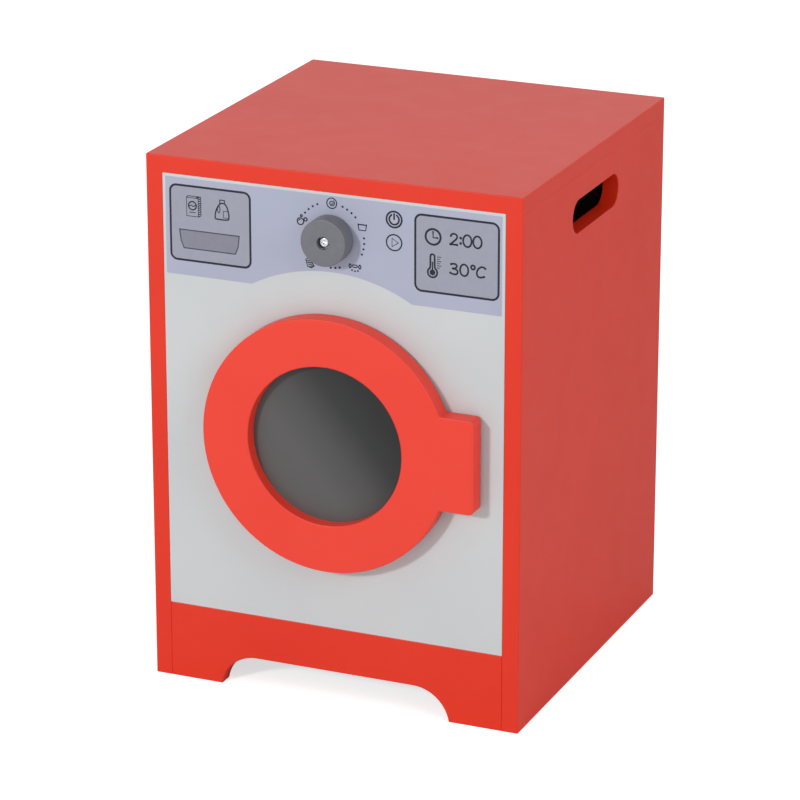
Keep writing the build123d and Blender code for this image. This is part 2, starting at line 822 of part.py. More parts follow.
# ---------------------------------------------------------------- the whole machine
def all_nodes():
    """Every sub-part by name."""
    return {
        "top_panel": make_top_panel(),
        "left_side_panel": make_side_panel(left, "left_side_panel"),
        "right_side_panel": make_side_panel(right, "right_side_panel"),
        "front_panel": make_front_panel(),
        "plinth_rail": make_plinth_rail(),
        "floor_panel": make_floor_panel(),
        "back_panel": make_back_panel(),
        "control_film": make_control_film(),
        "panel_dowels": group([dowel(point, direction) for point, direction, _, _ in dowel_sites()]),
        "top_cam_bolts": group([cam_bolt(site) for site in top_cam_sites()]),
        "top_cam_locks": group([cam_lock(site) for site in top_cam_sites()]),
        "floor_cam_bolts": group([cam_bolt(site) for site in floor_cam_sites()]),
        "floor_cam_locks": group([cam_lock(site) for site in floor_cam_sites()]),
        "back_panel_screws": group(
            [wood_screw(site, forward, back_screw_length) for site in back_screw_sites()]
        ),
        "door_ring": make_door_ring(),
        "door_window": make_door_window(),
        "window_screws": group([button_screw(site, forward) for site in window_screw_sites()]),
        "hinge_frame_leaf": make_hinge_frame_leaf(),
        "hinge_door_leaf": make_hinge_door_leaf(),
        "hinge_pin": make_hinge_pin(),
        "hinge_frame_screws": group([wood_screw(site, backward) for site in frame_leaf_screw_sites()]),
        "hinge_door_screws": group([wood_screw(site, forward) for site in door_leaf_screw_sites()]),
        "catch_housing": make_catch_housing(),
        "catch_magnet": make_catch_magnet(),
        "catch_screws": group(
            [wood_screw(site, backward, catch_screw_length) for site in catch_screw_sites()]
        ),
        "strike_plate": make_strike_plate(),
        "strike_screw": wood_screw(strike_screw_site(), forward),
        "dial_knob": make_dial_knob(),
        "knob_screw": make_knob_screw(),
        "knob_bush": make_knob_bush(),
        "knob_head_washer": make_knob_head_washer(),
        "knob_front_washer": make_knob_front_washer(),
        "knob_back_washer": make_knob_back_washer(),
        "knob_lock_nut": make_knob_lock_nut(),
    }


os.makedirs("parts", exist_ok=True)
for node, shape in all_nodes().items():
    export_step(shape, f"parts/{node}.step")
    print(f"{node}: {len(shape.solids())} solid(s), {shape.volume / 1000:.2f} cm3")
print(f"hinge pin at x {hinge_x:.2f}, y {hinge_y:.2f}; knob axis at z {knob_centre_height:.2f}")
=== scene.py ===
"""Finish, print and studio for a toy washing machine in painted board.

Everything is in metres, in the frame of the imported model. The boards, the door, the knob and the
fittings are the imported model's own nodes, and this script gives each of them its finish. It adds
the print on the control film, as thin layers of ink that lie on the film's face.
"""

import json
from math import cos, pi, radians, sin

import bmesh
import bpy
from mathutils import Matrix, Vector


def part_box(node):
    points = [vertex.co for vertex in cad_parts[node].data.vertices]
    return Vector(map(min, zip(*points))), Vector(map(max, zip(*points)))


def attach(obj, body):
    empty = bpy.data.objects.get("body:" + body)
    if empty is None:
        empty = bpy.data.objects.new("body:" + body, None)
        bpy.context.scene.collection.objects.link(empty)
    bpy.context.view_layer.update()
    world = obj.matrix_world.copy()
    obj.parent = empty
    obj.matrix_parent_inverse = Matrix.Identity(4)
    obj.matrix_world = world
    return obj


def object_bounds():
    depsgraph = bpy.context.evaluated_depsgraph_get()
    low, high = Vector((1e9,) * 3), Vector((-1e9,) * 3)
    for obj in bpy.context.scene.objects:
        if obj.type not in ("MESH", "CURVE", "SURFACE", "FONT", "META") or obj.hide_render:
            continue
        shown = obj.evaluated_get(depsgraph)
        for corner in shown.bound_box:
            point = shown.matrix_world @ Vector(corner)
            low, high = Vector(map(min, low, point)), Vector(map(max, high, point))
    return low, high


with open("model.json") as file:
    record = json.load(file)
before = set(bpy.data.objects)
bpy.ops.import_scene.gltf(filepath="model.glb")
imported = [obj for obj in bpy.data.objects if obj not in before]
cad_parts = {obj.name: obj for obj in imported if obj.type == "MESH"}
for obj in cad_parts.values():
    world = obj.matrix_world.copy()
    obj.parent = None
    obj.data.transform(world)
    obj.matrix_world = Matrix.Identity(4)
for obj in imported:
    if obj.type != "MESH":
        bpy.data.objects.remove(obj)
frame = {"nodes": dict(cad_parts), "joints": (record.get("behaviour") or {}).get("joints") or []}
model_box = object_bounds()

MM = 0.001

# ---------------------------------------------------------------- places taken from the frame
film_low, film_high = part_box("control_film")
panel_low, panel_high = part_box("front_panel")
window_low, window_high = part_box("door_window")
knob_joint = next(joint for joint in frame["joints"] if joint["name"] == "knob_turn")

film_face_y = film_low.y
knob_x, _, knob_z = knob_joint["pos_m"]

# ---------------------------------------------------------------- layout of the print
# All in millimetres. Heights over the film.
tint_height = 0.04                          # the boxes' tone
recess_height = tint_height + 0.01          # the drawer handle's tone, over the box's
ink_height = 0.08                           # line work
pen_end_height = ink_height * 0.9           # a stroke's round ends, just under its middle

# Widths of lines.
heavy_line = 1.95                           # the boxes' outlines and the clock
text_line = 2.15                            # the display's readings
icon_line = 1.65
fine_line = 1.1
start_line = fine_line * 1.15               # the start button
thin_line = fine_line * 0.9
hair_line = fine_line * 0.8
label_line = 0.9                            # the bar low on the carton

# The drawer's box and the display.
box_width = 80.0
box_height = 71.0
box_corner = 7.0
box_top_margin = 5.9                        # under the film's upper edge
drawer_side_margin = 3.7
display_side_margin = 2.0
handle_corner = 0.6

# The display's marks, from its upper left corner.
clock_across = 17.7
thermometer_across = 17.2
time_down = 19.8                            # the middle of the clock and of the time
temperature_down = 46.5
bulb_down = 52.1
time_size = 9.2
temperature_size = 9.0

# Round things.
clock_radius = 7.0
button_radius = 7.2
dial_dot_radius = 1.0
drop_radius = 0.85


# ---------------------------------------------------------------- making pieces
def finished(name, mesh, material, body):
    """A mesh as a named piece that rides on a body of the model."""
    piece = bpy.data.objects.new(name, mesh)
    bpy.context.scene.collection.objects.link(piece)
    piece.data.materials.append(material)
    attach(piece, body)
    return piece


def print_piece(name, bm, material):
    """A layer of print on the control film."""
    bmesh.ops.recalc_face_normals(bm, faces=bm.faces)
    mesh = bpy.data.meshes.new(name)
    bm.to_mesh(mesh)
    bm.free()
    piece = finished(name, mesh, material, "cabinet")


def thickened(bm, faces, height):
    """Flat faces in the film's plane, raised from it into a closed layer."""
    made = bmesh.ops.extrude_face_region(bm, geom=faces, use_keep_orig=True)
    raised = [item for item in made["geom"] if isinstance(item, bmesh.types.BMVert)]
    bmesh.ops.translate(bm, verts=raised, vec=(0, -height * MM, 0))


def on_film(x, z):
    """A point of the film's face, from millimetres across and up."""
    return Vector((x * MM, film_face_y, z * MM))


def flat_outline(bm, points):
    """A face in the film's plane, from its corners."""
    corners = [bm.verts.new(on_film(x, z)) for x, z in points]
    return bm.faces.new(corners)


def flat_circle(bm, x, z, radius, sides):
    """A round face in the film's plane."""
    place = Matrix.Translation(on_film(x, z)) @ Matrix.Rotation(pi / 2, 4, "X")
    made = bmesh.ops.create_circle(
        bm, cap_ends=True, segments=sides, radius=radius * MM, matrix=place
    )
    return made["verts"][0].link_faces[0]


def dot(bm, x, z, radius, height=ink_height, sides=20):
    """A printed dot."""
    thickened(bm, [flat_circle(bm, x, z, radius, sides)], height)


def ring(bm, x, z, radius, line, sides=56):
    """A printed circle; radius is to the middle of its line."""
    disc = flat_circle(bm, x, z, radius + line / 2, sides)
    band = bmesh.ops.inset_region(bm, faces=[disc], thickness=line * MM, use_boundary=True)
    bmesh.ops.delete(bm, geom=[disc], context="FACES")
    thickened(bm, band["faces"], ink_height)


def rounded_face(bm, points, corner, steps=8):
    """A face in the film's plane with its corners rounded."""
    face = flat_outline(bm, points)
    made = bmesh.ops.bevel(
        bm, geom=list(face.verts), offset=corner * MM, offset_type="OFFSET", affect="VERTICES",
        segments=steps, profile=0.5, material=-1,
    )
    return max(made["verts"][0].link_faces, key=lambda each: each.calc_area())


def frame_line(bm, points, corner, line):
    """A printed outline, line wide, inside a rounded shape."""
    face = rounded_face(bm, points, corner)
    band = bmesh.ops.inset_region(bm, faces=[face], thickness=line * MM, use_boundary=True)
    bmesh.ops.delete(bm, geom=[face], context="FACES")
    thickened(bm, band["faces"], ink_height)


def pen_line(bm, points, line, smooth=True, closed=False):
    """A pen stroke through points on the film, flattened to a layer of ink, with round ends."""
    curve = bpy.data.curves.new("pen_line", "CURVE")
    curve.dimensions = "3D"
    curve.bevel_depth = line / 2 * MM
    curve.bevel_resolution = 2
    curve.use_fill_caps = not closed
    curve.resolution_u = 6
    stroke = curve.splines.new("NURBS" if smooth else "POLY")
    stroke.points.add(len(points) - 1)
    for point, (x, z) in zip(stroke.points, points):
        point.co = (*on_film(x, z), 1)
    stroke.use_cyclic_u = closed
    if smooth:
        stroke.order_u = 3
        stroke.use_endpoint_u = not closed
    holder = bpy.data.objects.new("pen_line", curve)
    before = set(bm.verts)
    swept = bpy.data.meshes.new_from_object(holder)
    bm.from_mesh(swept)
    added = [vert for vert in bm.verts if vert not in before]
    flatten = Matrix.Diagonal((1, 2 * ink_height / line, 1, 1))
    to_film = Matrix.Translation((0, film_face_y, 0))
    bmesh.ops.transform(bm, verts=added, matrix=to_film @ flatten @ to_film.inverted())
    bmesh.ops.remove_doubles(bm, verts=added, dist=0.001 * MM)
    bpy.data.objects.remove(holder)
    bpy.data.curves.remove(curve)
    bpy.data.meshes.remove(swept)
    if not closed:
        for x, z in (points[0], points[-1]):
            dot(bm, x, z, line / 2, pen_end_height, 12)


def arc_points(x, z, radius, start, end, count):
    """Points round a centre; angles in degrees from the right, anticlockwise from the front."""
    angles = [radians(start + (end - start) * index / (count - 1)) for index in range(count)]
    return [(x + radius * cos(angle), z + radius * sin(angle)) for angle in angles]


def oval_points(x, z, half_width, half_height, count=12):
    """Points round an oval."""
    turn = [2 * pi * index / count for index in range(count)]
    return [(x + half_width * cos(angle), z + half_height * sin(angle)) for angle in turn]


def scaled(points, x, z, size=1):
    """Points drawn round the origin, at a size, moved to x and z."""
    return [(x + px * size, z + pz * size) for px, pz in points]


def draw(bm, x, z, points, line, smooth=True, closed=False, size=1):
    """A pen stroke whose points are given from the middle of its drawing, which is at x and z."""
    pen_line(bm, scaled(points, x, z, size), line, smooth, closed)


# ---------------------------------------------------------------- materials
# The dark grey of the board faces inside the cabinet and of the floor board.
inside_grey = "#5a5b60"
inside_reach = 0.3 * MM          # how far the tests for inside faces reach past the front panel's edges


def linear(code):
    """An sRGB hex colour as linear RGBA."""
    channels = [int(code[index:index + 2], 16) / 255 for index in (1, 3, 5)]
    return (*[c / 12.92 if c <= 0.04045 else ((c + 0.055) / 1.055) ** 2.4 for c in channels], 1)


def add_node(tree, kind, settings=None, links=None):
    """A node of a kind, with its settings by attribute or input name and its inputs' links."""
    node = tree.nodes.new(kind)
    for name, value in (settings or {}).items():
        if isinstance(name, str) and name in node.bl_rna.properties:
            setattr(node, name, value)
        else:
            node.inputs[name].default_value = value
    for name, socket in (links or {}).items():
        tree.links.new(socket, node.inputs[name])
    return node


def new_material(name, settings):
    """A material with one Principled shader; returns the material, its tree and its shader."""
    material = bpy.data.materials.new(name)
    material.use_nodes = True
    tree = material.node_tree
    shader = tree.nodes["Principled BSDF"]
    for setting, value in settings.items():
        shader.inputs[setting].default_value = value
    material.diffuse_color = shader.inputs["Base Color"].default_value
    return material, tree, shader


def wandering(tree, size_mm, low, high, stretch=(1, 1, 1), detail=2.0):
    """A value that wanders from low to high over the piece, in spots about size_mm across."""
    place = add_node(tree, "ShaderNodeTexCoord")
    spread = add_node(
        tree, "ShaderNodeMapping", {"Scale": stretch}, {"Vector": place.outputs["Object"]}
    )
    spots = add_node(
        tree, "ShaderNodeTexNoise", {"Scale": 1 / (size_mm * MM), "Detail": detail},
        {"Vector": spread.outputs["Vector"]},
    )
    return add_node(
        tree, "ShaderNodeMapRange",
        {"From Min": 0.3, "From Max": 0.7, "To Min": low, "To Max": high},
        {"Value": spots.outputs["Fac"]},
    ).outputs["Result"]


def mottle(tree, shader, size_mm, dark, light, stretch=(1, 1, 1), detail=2.0):
    """Colour that drifts between two tones; returns the colour's socket."""
    share = wandering(tree, size_mm, 0, 1, stretch, detail)
    ramp = add_node(tree, "ShaderNodeValToRGB", links={"Fac": share})
    ramp.color_ramp.elements[0].color = linear(dark)
    ramp.color_ramp.elements[1].color = linear(light)
    tree.links.new(ramp.outputs["Color"], shader.inputs["Base Color"])
    return ramp.outputs["Color"]


def uneven_sheen(tree, shader, size_mm, low, high, stretch=(1, 1, 1)):
    """A roughness that drifts from low to high."""
    tree.links.new(wandering(tree, size_mm, low, high, stretch), shader.inputs["Roughness"])


def fine_relief(tree, shader, size_mm, depth_mm, stretch=(1, 1, 1), detail=1.0):
    """Small hills of a real depth."""
    hills = wandering(tree, size_mm, 0, 1, stretch, detail)
    bump = add_node(tree, "ShaderNodeBump", {"Distance": depth_mm * MM}, {"Height": hills})
    tree.links.new(bump.outputs["Normal"], shader.inputs["Normal"])


def sprayed_lacquer(name, dark, light, gloss):
    """Sprayed satin lacquer over smooth board: even colour, soft sheen and faint orange peel.

    Returns the material, its tree, its shader and its colour's socket. gloss is its roughness.
    """
    material, tree, shader = new_material(
        name, {"Base Color": linear(light), "IOR": 1.43, "Roughness": gloss}
    )
    colour = mottle(tree, shader, 90, dark, light)
    uneven_sheen(tree, shader, 30, gloss - 0.01, gloss + 0.02)
    fine_relief(tree, shader, 2.2, 0.002)
    return material, tree, shader, colour


def board_lacquer_grey_inside(name, dark, light, gloss):
    """Lacquered board whose faces inside the cabinet are dark grey instead.

    Inside means between the sides, under the top and behind the front panel.
    """
    material, tree, shader, colour = sprayed_lacquer(name, dark, light, gloss)
    place = add_node(tree, "ShaderNodeTexCoord")
    parts = add_node(tree, "ShaderNodeSeparateXYZ", links={"Vector": place.outputs["Object"]})
    across = add_node(tree, "ShaderNodeMath", {"operation": "ABSOLUTE"}, {0: parts.outputs["X"]})
    tests = (
        ("LESS_THAN", across.outputs["Value"], panel_high.x + inside_reach),
        ("LESS_THAN", parts.outputs["Z"], panel_high.z + inside_reach),
        ("GREATER_THAN", parts.outputs["Y"], panel_high.y - inside_reach),
    )
    inside = [
        add_node(
            tree, "ShaderNodeMath", {"operation": test, 1: limit}, {0: value}
        ).outputs["Value"]
        for test, value, limit in tests
    ]
    inside_xz = add_node(
        tree, "ShaderNodeMath", {"operation": "MULTIPLY"}, {0: inside[0], 1: inside[1]}
    )
    inside_all = add_node(
        tree, "ShaderNodeMath", {"operation": "MULTIPLY"},
        {0: inside_xz.outputs["Value"], 1: inside[2]},
    )
    choice = add_node(
        tree, "ShaderNodeMixRGB", {"Color2": linear(inside_grey)},
        {"Fac": inside_all.outputs["Value"], "Color1": colour},
    )
    tree.links.new(choice.outputs["Color"], shader.inputs["Base Color"])
    return material


def matt_print_film():
    """Matt self-adhesive polyester film, printed in one pale lilac tone: flat, finely toothed."""
    material, tree, shader = new_material(
        "matt_print_film", {"Base Color": linear("#a7abbf"), "IOR": 1.55, "Roughness": 0.5}
    )
    mottle(tree, shader, 60, "#a4a8bc", "#a8acc1")
    uneven_sheen(tree, shader, 5, 0.48, 0.54)
    fine_relief(tree, shader, 0.5, 0.003)
    return material


def screen_ink(name, dark, light):
    """Screen-printed ink: a matt layer with the faint mottle of the mesh it went through."""
    material, tree, shader = new_material(
        name, {"Base Color": linear(light), "IOR": 1.45, "Roughness": 0.6}
    )
    mottle(tree, shader, 6, dark, light)
    fine_relief(tree, shader, 0.4, 0.003)
    return material


def smoked_acrylic():
    """Smoke-tinted acrylic, satin on its face, with a painted reflection fading to dark at the
    upper right.
    """
    material, tree, shader = new_material(
        "smoked_acrylic",
        {
            "Base Color": linear("#4a4b4c"), "IOR": 1.49, "Roughness": 0.5,
            "Transmission Weight": 0.1,
        },
    )
    # The colour below is a painted reflection: a ramp slanted at 40 degrees, light at the lower
    # left and dark at the upper right.
    middle = (window_low + window_high) / 2
    width = window_high.x - window_low.x
    slant = radians(40)
    start = 0.5 - (middle.x * cos(slant) + middle.z * sin(slant)) / width
    place = add_node(tree, "ShaderNodeTexCoord")
    across = add_node(
        tree, "ShaderNodeMapping",
        {"Location": (start, 0, 0), "Rotation": (0, slant, 0), "Scale": (1 / width, 1, 1 / width)},
        {"Vector": place.outputs["Object"]},
    )
    share = add_node(tree, "ShaderNodeTexGradient", links={"Vector": across.outputs["Vector"]})
    painted_reflection_ramp = add_node(tree, "ShaderNodeValToRGB", links={"Fac": share.outputs["Fac"]})
    stops = painted_reflection_ramp.color_ramp.elements
    stops[0].position, stops[1].position = 0.32, 0.84
    stops.new(0.5)
    stops.new(0.68)
    for stop, tone in zip(stops, ("#585858", "#4a4a4a", "#272929", "#151717")):
        stop.color = linear(tone)
    tree.links.new(painted_reflection_ramp.outputs["Color"], shader.inputs["Base Color"])
    uneven_sheen(tree, shader, 12, 0.38, 0.46, (1, 1, 0.25))
    fine_relief(tree, shader, 30, 0.01)
    return material


def satin_knob_paint():
    """Grey paint sprayed on a turned beech knob: satin, with the faint rings of the turning."""
    material, tree, shader = new_material(
        "satin_knob_paint", {"Base Color": linear("#6b6c73"), "IOR": 1.5, "Roughness": 0.42}
    )
    mottle(tree, shader, 9, "#68696f", "#6e6f76")
    uneven_sheen(tree, shader, 3, 0.4, 0.46)
    place = add_node(tree, "ShaderNodeTexCoord")
    centred = add_node(
        tree, "ShaderNodeMapping", {"Location": (-knob_x, 0, -knob_z)},
        {"Vector": place.outputs["Object"]},
    )
    # The node's rings lie 2 pi / (20 x Scale) apart, which is 10 mm here.
    rings = add_node(
        tree, "ShaderNodeTexWave",
        {
            "wave_type": "RINGS", "rings_direction": "Y", "Scale": 1 / (20 * 1.6 * MM),
            "Distortion": 0.6,
        },
        {"Vector": centred.outputs["Vector"]},
    )
    bump = add_node(
        tree, "ShaderNodeBump", {"Strength": 0.5, "Distance": 0.008 * MM},
        {"Height": rings.outputs["Fac"]},
    )
    tree.links.new(bump.outputs["Normal"], shader.inputs["Normal"])
    return material


def plated_steel(name, tone, roughness):
    """Bright zinc plating on steel: cool, shiny and slightly cloudy."""
    material, tree, shader = new_material(
        name, {"Base Color": linear(tone), "Metallic": 1.0, "Roughness": roughness}
    )
    uneven_sheen(tree, shader, 1.5, roughness - 0.06, roughness + 0.1)
    fine_relief(tree, shader, 0.6, 0.003)
    return material


def die_cast_zinc():
    """Die-cast zinc alloy: dull grey metal with a fine cast skin."""
    material, tree, shader = new_material(
        "die_cast_zinc", {"Base Color": linear("#a3a5a8"), "Metallic": 1.0, "Roughness": 0.5}
    )
    mottle(tree, shader, 4, "#96989b", "#abadb0")
    uneven_sheen(tree, shader, 2, 0.42, 0.6)
    fine_relief(tree, shader, 0.5, 0.01)
    return material


def ground_magnet():
    """Nickel-plated ferrite: dark grey metal, finely ground across its face."""
    material, tree, shader = new_material(
        "ground_magnet", {"Base Color": linear("#77797d"), "Metallic": 1.0, "Roughness": 0.35}
    )
    along_grinding = (1, 1, 0.06)
    uneven_sheen(tree, shader, 0.6, 0.28, 0.45, along_grinding)
    fine_relief(tree, shader, 0.5, 0.004, along_grinding)
    return material


def moulded_plastic(name, dark, light, roughness):
    """Injection-moulded plastic: even colour and a finely sparked surface."""
    material, tree, shader = new_material(
        name, {"Base Color": linear(light), "IOR": 1.53, "Roughness": roughness}
    )
    mottle(tree, shader, 12, dark, light)
    uneven_sheen(tree, shader, 3, roughness - 0.05, roughness + 0.08)
    fine_relief(tree, shader, 0.35, 0.008)
    return material


def bare_beech():
    """Turned beech dowel, unfinished: pale pinkish wood with short dark flecks along the grain."""
    material, tree, shader = new_material(
        "bare_beech", {"Base Color": linear("#d3ab7f"), "IOR": 1.5, "Roughness": 0.62}
    )
    along_grain = (1, 1, 0.12)
    mottle(tree, shader, 1.2, "#c2956a", "#dab68c", along_grain, 4)
    fine_relief(tree, shader, 1.2, 0.03, along_grain, 4)
    return material


def plain_hardboard():
    """Pressed hardboard, smooth side out: warm brown with dark fibres and pale specks."""
    material, tree, shader = new_material(
        "plain_hardboard", {"Base Color": linear("#8f6b49"), "IOR": 1.5, "Roughness": 0.55}
    )
    mottle(tree, shader, 1.6, "#7d5a3b", "#9c7853", detail=6)
    uneven_sheen(tree, shader, 8, 0.48, 0.64)
    fine_relief(tree, shader, 1.6, 0.03, detail=6)
    return material


def dark_grey_floor_board():
    """Matt dark grey on the floor board: a dull face with a fine pressed texture."""
    material, tree, shader = new_material(
        "dark_grey_floor_board", {"Base Color": linear(inside_grey), "IOR": 1.5, "Roughness": 0.7}
    )
    mottle(tree, shader, 40, "#55565b", "#5f6065")
    fine_relief(tree, shader, 1.0, 0.02)
    return material


# ---------------------------------------------------------------- finishes of the model's nodes
red_board_lacquer = board_lacquer_grey_inside("red_board_lacquer", "#de2c0e", "#e12f12", 0.42)
# The door ring's red is a lighter copy of the boards' red: painted light for the light falling on
# the door's front.
red_door_lacquer_painted_lighter = sprayed_lacquer("red_door_lacquer_painted_lighter", "#e93b29", "#eb3e2c", 0.45)[0]
white_board_lacquer = sprayed_lacquer("white_board_lacquer", "#c5c9cb", "#c9cdce", 0.5)[0]
film = matt_print_film()
line_ink = screen_ink("navy_line_ink", "#0a0d20", "#0f1227")
box_tint = screen_ink("grey_box_tint", "#9698a7", "#999baa")
recess_tint = screen_ink("grey_recess_tint", "#7f808e", "#828391")
recess_line_ink = screen_ink("slate_line_ink", "#3f4154", "#45475a")
bright_steel = plated_steel("bright_zinc_plate", "#d3d5d8", 0.22)
dull_steel = plated_steel("rolled_zinc_plate", "#b4b6b9", 0.34)

FINISHES = {
    red_board_lacquer: ("top_panel", "left_side_panel", "right_side_panel", "plinth_rail"),
    red_door_lacquer_painted_lighter: ("door_ring",),
    white_board_lacquer: ("front_panel",),
    film: ("control_film",),
    smoked_acrylic(): ("door_window",),
    satin_knob_paint(): ("dial_knob",),
    bright_steel: (
        "knob_screw", "window_screws", "back_panel_screws", "hinge_frame_screws",
        "hinge_door_screws", "catch_screws", "strike_screw", "knob_lock_nut",
    ),
    dull_steel: (
        "hinge_frame_leaf", "hinge_door_leaf", "hinge_pin", "strike_plate", "knob_head_washer",
        "knob_back_washer", "top_cam_bolts", "floor_cam_bolts",
    ),
    die_cast_zinc(): ("top_cam_locks", "floor_cam_locks"),
    ground_magnet(): ("catch_magnet",),
    moulded_plastic("black_moulded_plastic", "#191919", "#222222", 0.5): ("catch_housing",),
    moulded_plastic("white_nylon", "#e4e4df", "#ecece8", 0.45): (
        "knob_bush", "knob_front_washer",
    ),
    bare_beech(): ("panel_dowels",),
    plain_hardboard(): ("back_panel",),
    dark_grey_floor_board(): ("floor_panel",),
}


def finish_nodes():
    """Each of the model's nodes gets its finish."""
    for material, names in FINISHES.items():
        for name in names:
            for slot in frame["nodes"][name].material_slots:
                slot.material = material


# ---------------------------------------------------------------- the drawer's print
def box_corners(left, top):
    """A box's corners, from its upper left, clockwise from the front."""
    right, bottom = left + box_width, top - box_height
    return [(left, top), (right, top), (right, bottom), (left, bottom)]


def tinted_box(name, left, top):
    """A tinted rounded box with its dark outline."""
    bm = bmesh.new()
    thickened(bm, [rounded_face(bm, box_corners(left, top), box_corner)], tint_height)
    print_piece(f"{name}_tint", bm, box_tint)
    bm = bmesh.new()
    frame_line(bm, box_corners(left, top), box_corner, heavy_line)
    print_piece(f"{name}_outline", bm, line_ink)


def drawer_handle(left, top):
    """The printed hollow of the drawer's handle, wider at its top."""
    hollow = [(left + across, top - down) for across, down in (
        (9.0, 41.3), (68.8, 41.3), (67.6, 52.0), (64.6, 59.3), (13.4, 59.3), (10.4, 52.0),
    )]
    bm = bmesh.new()
    thickened(bm, [rounded_face(bm, hollow, handle_corner, 2)], recess_height)
    print_piece("drawer_handle_tint", bm, recess_tint)
    bm = bmesh.new()
    frame_line(bm, hollow, handle_corner, fine_line)
    print_piece("drawer_handle_outline", bm, recess_line_ink)


def powder_box_icon(x, z):
    """A carton seen from the front and right; x and z are the middle of the drawing."""
    front = [(-7, 8), (4.4, 8), (4.4, -9), (-7, -9)]
    top_and_side = [(-7, 8), (-5.6, 9.6), (7.0, 9.6), (7.0, -7.6), (4.4, -9)]
    flap = [(1.8, 8.2), (3.2, 9.4), (6.8, 9.4), (4.4, 8.2)]
    scribble = [(-4.2, 0.4), (-2.6, 1.9), (-0.6, -0.4), (1.4, 1.2)]
    bm = bmesh.new()
    draw(bm, x, z, front, fine_line, smooth=False, closed=True)
    draw(bm, x, z, top_and_side, fine_line, smooth=False)
    for height in range(-7, 9, 2):
        draw(bm, x, z, [(4.6, height), (6.8, height + 1.0)], fine_line, smooth=False)
    thickened(bm, [flat_outline(bm, scaled(flap, x, z))], ink_height)
    ring(bm, x - 1.3, z + 0.8, 3.8, fine_line * 1.1, 32)
    draw(bm, x, z, scribble, fine_line)
    draw(bm, x, z, [(-3.9, -5.4), (1.3, -5.4)], label_line, smooth=False)
    print_piece("powder_box_icon", bm, line_ink)


def bottle_icon(x, z):
    """A bottle with a side handle, a cap and a blank label."""
    body = [
        (-6.4, -8.6), (5.6, -8.6), (6.8, -7.0), (6.4, -1.0), (4.4, 4.4), (2.2, 6.6), (-1.4, 6.6),
        (-4.4, 3.0), (-6.6, -2.6), (-7.0, -7.6),
    ]
    cap = [(-2.2, 6.4), (-2.0, 9.4), (2.4, 9.4), (2.6, 6.4)]
    grip = oval_points(-3.3, 0.6, 1.3, 3.2)
    label = [(1.2, -0.6), (6.0, -0.6), (6.4, -6.6), (1.2, -6.6)]
    bm = bmesh.new()
    draw(bm, x, z, body, icon_line, closed=True)
    draw(bm, x, z, cap, icon_line, smooth=False, closed=True)
    draw(bm, x, z, grip, fine_line, closed=True)
    draw(bm, x, z, label, fine_line, smooth=False, closed=True)
    print_piece("bottle_icon", bm, line_ink)


def print_drawer():
    """The box at the film's left end: a handle, a carton and a bottle."""
    left = film_low.x / MM + drawer_side_margin
    top = film_high.z / MM - box_top_margin
    tinted_box("drawer_box", left, top)
    drawer_handle(left, top)
    for icon, across, down in ((powder_box_icon, 24.0, 19.6), (bottle_icon, 51.8, 19.8)):
        icon(left + across, top - down)


# ---------------------------------------------------------------- the display's print
def clock_icon(x, z):
    """A clock at three."""
    bm = bmesh.new()
    ring(bm, x, z, clock_radius, heavy_line)
    draw(bm, x, z, [(0, 4.6), (0, -0.6), (4.2, -0.6)], icon_line, smooth=False)
    print_piece("clock_icon", bm, line_ink)


def thermometer_icon(x, z):
    """A thermometer with its scale; z is the middle of its bulb."""
    bulb_radius, tube_radius, tube_top, mark_gap = 4.5, 2.0, 14.6, 2.0
    bulb = arc_points(x, z, bulb_radius, 116, 424, 17)
    tube = arc_points(x, z + tube_top, tube_radius, 0, 180, 7)
    bm = bmesh.new()
    pen_line(bm, bulb + tube, text_line, closed=True)
    dot(bm, x, z, 2.7)
    draw(bm, x, z, [(0, 0), (0, 9.0)], icon_line, smooth=False)
    start = x + 4.6
    for index, reach in enumerate((3.2, 1.9) * 3):
        height = z + tube_top - mark_gap * index
        pen_line(bm, [(start, height), (start + reach, height)], hair_line, smooth=False)
    print_piece("thermometer_icon", bm, line_ink)


# The readings' marks are drawn round x and z. A figure is 1.2 times size high.
def two(bm, x, z, size):
    hook = [
        (-0.30, 0.32), (-0.26, 0.48), (0.04, 0.60), (0.34, 0.42), (0.32, 0.12), (0.0, -0.18),
        (-0.34, -0.5),
    ]
    draw(bm, x, z, hook, text_line, size=size)
    draw(bm, x, z, [(-0.34, -0.5), (0.34, -0.5)], text_line, smooth=False, size=size)


def three(bm, x, z, size):
    upper = [(-0.26, 0.46), (0.0, 0.56), (0.36, 0.46), (0.30, 0.10), (-0.06, 0.04)]
    lower = [(-0.06, 0.04), (0.40, 0.0), (0.44, -0.44), (0.04, -0.58), (-0.34, -0.42)]
    draw(bm, x, z, upper, text_line, size=size)
    draw(bm, x, z, lower, text_line, size=size)


def nought(bm, x, z, size):
    draw(bm, x, z, oval_points(0, 0, 0.44, 0.6), text_line, closed=True, size=size)


def colon(bm, x, z, size):
    for height in (-0.3, 0.22):
        dot(bm, x, z + height * size, text_line * 0.6)


def degree_sign(bm, x, z, size):
    ring(bm, x, z + 0.40 * size, 0.2 * size, text_line * 0.8, 28)


def letter_c(bm, x, z, size):
    bow = [
        (0.46, 0.42), (0.28, 0.58), (-0.10, 0.50), (-0.42, 0.10), (-0.40, -0.40), (-0.08, -0.58),
        (0.34, -0.42),
    ]
    draw(bm, x, z, bow, text_line, size=size)


# Each reading's marks, with their distance from the display's left edge.
TIME_MARKS = ((two, 37.1), (colon, 43.5), (nought, 49.7), (nought, 59.1))
TEMPERATURE_MARKS = ((three, 37.0), (nought, 46.9), (degree_sign, 55.1), (letter_c, 62.4))


def reading(name, left, z, size, marks):
    """A line of marks on the display, with its middle at z."""
    bm = bmesh.new()
    for mark, across in marks:
        mark(bm, left + across, z, size)
    print_piece(name, bm, line_ink)


